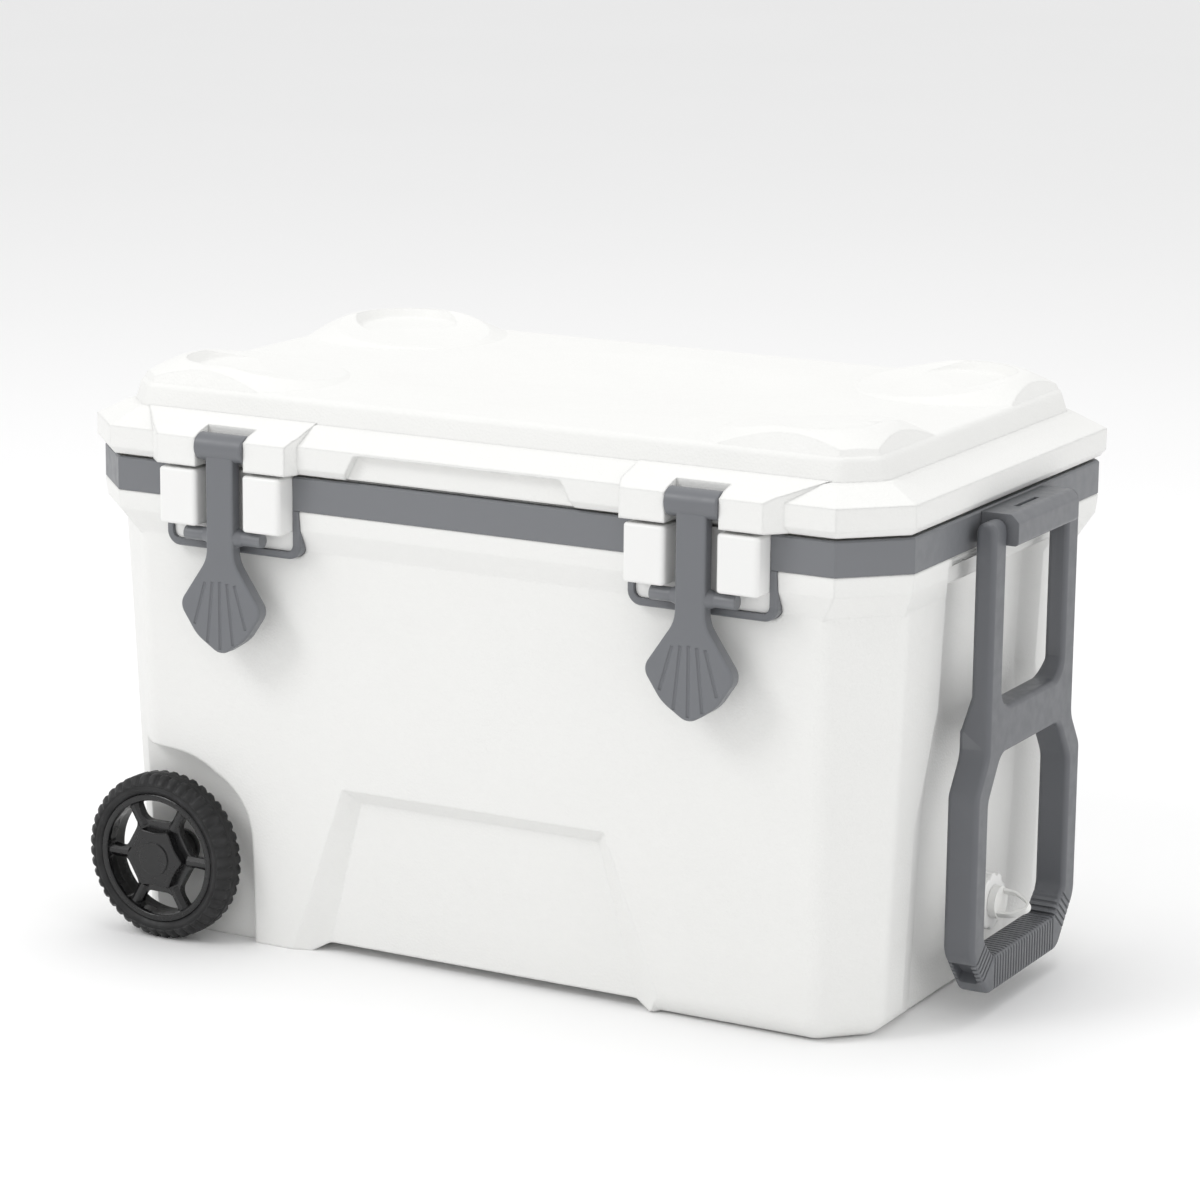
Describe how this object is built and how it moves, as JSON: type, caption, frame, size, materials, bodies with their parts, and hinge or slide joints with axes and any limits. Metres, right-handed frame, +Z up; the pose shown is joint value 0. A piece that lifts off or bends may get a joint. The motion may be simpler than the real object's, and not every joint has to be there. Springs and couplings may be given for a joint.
{
  "type": "wheeled cooler",
  "caption": "Hard-sided insulated cooler box on two wheels, with a hinged lid with cup holders, two front toggle latches, a swing-down tow handle at one end and a screw-cap drain.",
  "frame": {"origin": "centre of the whole cooler's outline at ground level", "axes": "+X along the box towards the tow handle, -Y the latch side, +Z up"},
  "size_m": [0.723, 0.465, 0.4465],
  "materials": {
    "shell_white": "off-white polyethylene with a fine leather grain",
    "liner_white": "smooth white food-grade plastic",
    "smooth_white": "smooth white moulded plastic",
    "foam": "pale rigid foam",
    "trim_grey": "satin mid-grey plastic",
    "latch_grey": "satin mid-grey plastic",
    "handle_grey": "satin mid-grey plastic",
    "steel": "zinc-plated steel",
    "bush_black": "black nylon",
    "seal_rubber": "soft grey rubber",
    "tyre": "black moulded rubber",
    "rim_black": "satin black plastic",
    "drain_soft": "soft white plastic"
  },
  "bodies": {
    "body": {"body_shell": "shell_white", "body_foam": "foam", "body_liner": "liner_white", "trim_band": "trim_grey", "trim_band_front": "trim_grey", "keeper_left": "smooth_white", "keeper_right": "smooth_white", "keeper_surround_left": "trim_grey", "keeper_surround_right": "trim_grey", "keeper_screws": "steel", "hinge_body_leaf_left": "trim_grey", "hinge_body_leaf_right": "trim_grey", "hinge_pin_left": "steel", "hinge_pin_right": "steel", "hinge_screws_body": "steel", "handle_bracket": "handle_grey", "bracket_screws": "steel", "handle_pin_front": "steel", "handle_pin_rear": "steel", "axle": "steel", "axle_bush_front": "bush_black", "axle_bush_rear": "bush_black", "axle_retainer_front": "steel", "axle_retainer_rear": "steel", "drain_fitting": "smooth_white", "drain_nut": "smooth_white", "drain_gasket": "seal_rubber"},
    "lid": {"lid_shell": "shell_white", "lid_foam": "foam", "lid_liner": "liner_white", "lid_gasket": "seal_rubber", "hinge_lid_leaf_left": "trim_grey", "hinge_lid_leaf_right": "trim_grey", "hinge_screws_lid": "steel", "latch_pin_left": "steel", "latch_pin_right": "steel"},
    "latch_left": {"latch_left": "latch_grey"},
    "latch_right": {"latch_right": "latch_grey"},
    "tow_handle": {"tow_handle": "handle_grey"},
    "wheel_front": {"tyre_front": "tyre", "wheel_rim_front": "rim_black", "hub_cap_front": "rim_black"},
    "wheel_rear": {"tyre_rear": "tyre", "wheel_rim_rear": "rim_black", "hub_cap_rear": "rim_black"},
    "drain_pull_loop": {"drain_pull_loop": "drain_soft"},
    "drain_cap": {"drain_cap": "smooth_white"}
  },
  "joints": [
    {"name": "lid_hinge", "type": "hinge", "parent": "body", "child": "lid", "pos_m": [-0.0135, 0.225, 0.3805], "axis": [-1, 0, 0], "range_deg": [0, 100]},
    {"name": "latch_left_pivot", "type": "hinge", "parent": "lid", "child": "latch_left", "pos_m": [-0.2125, -0.222, 0.396], "axis": [-1, 0, 0], "range_deg": [0, 150]},
    {"name": "latch_right_pivot", "type": "hinge", "parent": "lid", "child": "latch_right", "pos_m": [0.1855, -0.222, 0.396], "axis": [-1, 0, 0], "range_deg": [0, 150]},
    {"name": "handle_pivot", "type": "hinge", "parent": "body", "child": "tow_handle", "pos_m": [0.3455, 0, 0.3655], "axis": [0, -1, 0], "range_deg": [0, 150]},
    {"name": "wheel_front_spin", "type": "hinge", "parent": "body", "child": "wheel_front", "pos_m": [-0.2815, -0.2, 0.0655], "axis": [0, 1, 0], "continuous": true},
    {"name": "wheel_rear_spin", "type": "hinge", "parent": "body", "child": "wheel_rear", "pos_m": [-0.2815, 0.2, 0.0655], "axis": [0, 1, 0], "continuous": true},
    {"name": "drain_cap_travel", "type": "slide", "parent": "body", "child": "drain_pull_loop", "axis": [1, 0, 0], "range_m": [0, 0.0121]},
    {"name": "drain_cap_turn", "type": "hinge", "parent": "drain_pull_loop", "child": "drain_cap", "pos_m": [0.3165, 0, 0.068], "axis": [1, 0, 0], "range_deg": [0, 1080]}
  ],
  "couplings": [
    {"joint": "drain_cap_travel", "follows": "drain_cap_turn", "m_per_rad": 0.00063662}
  ]
}
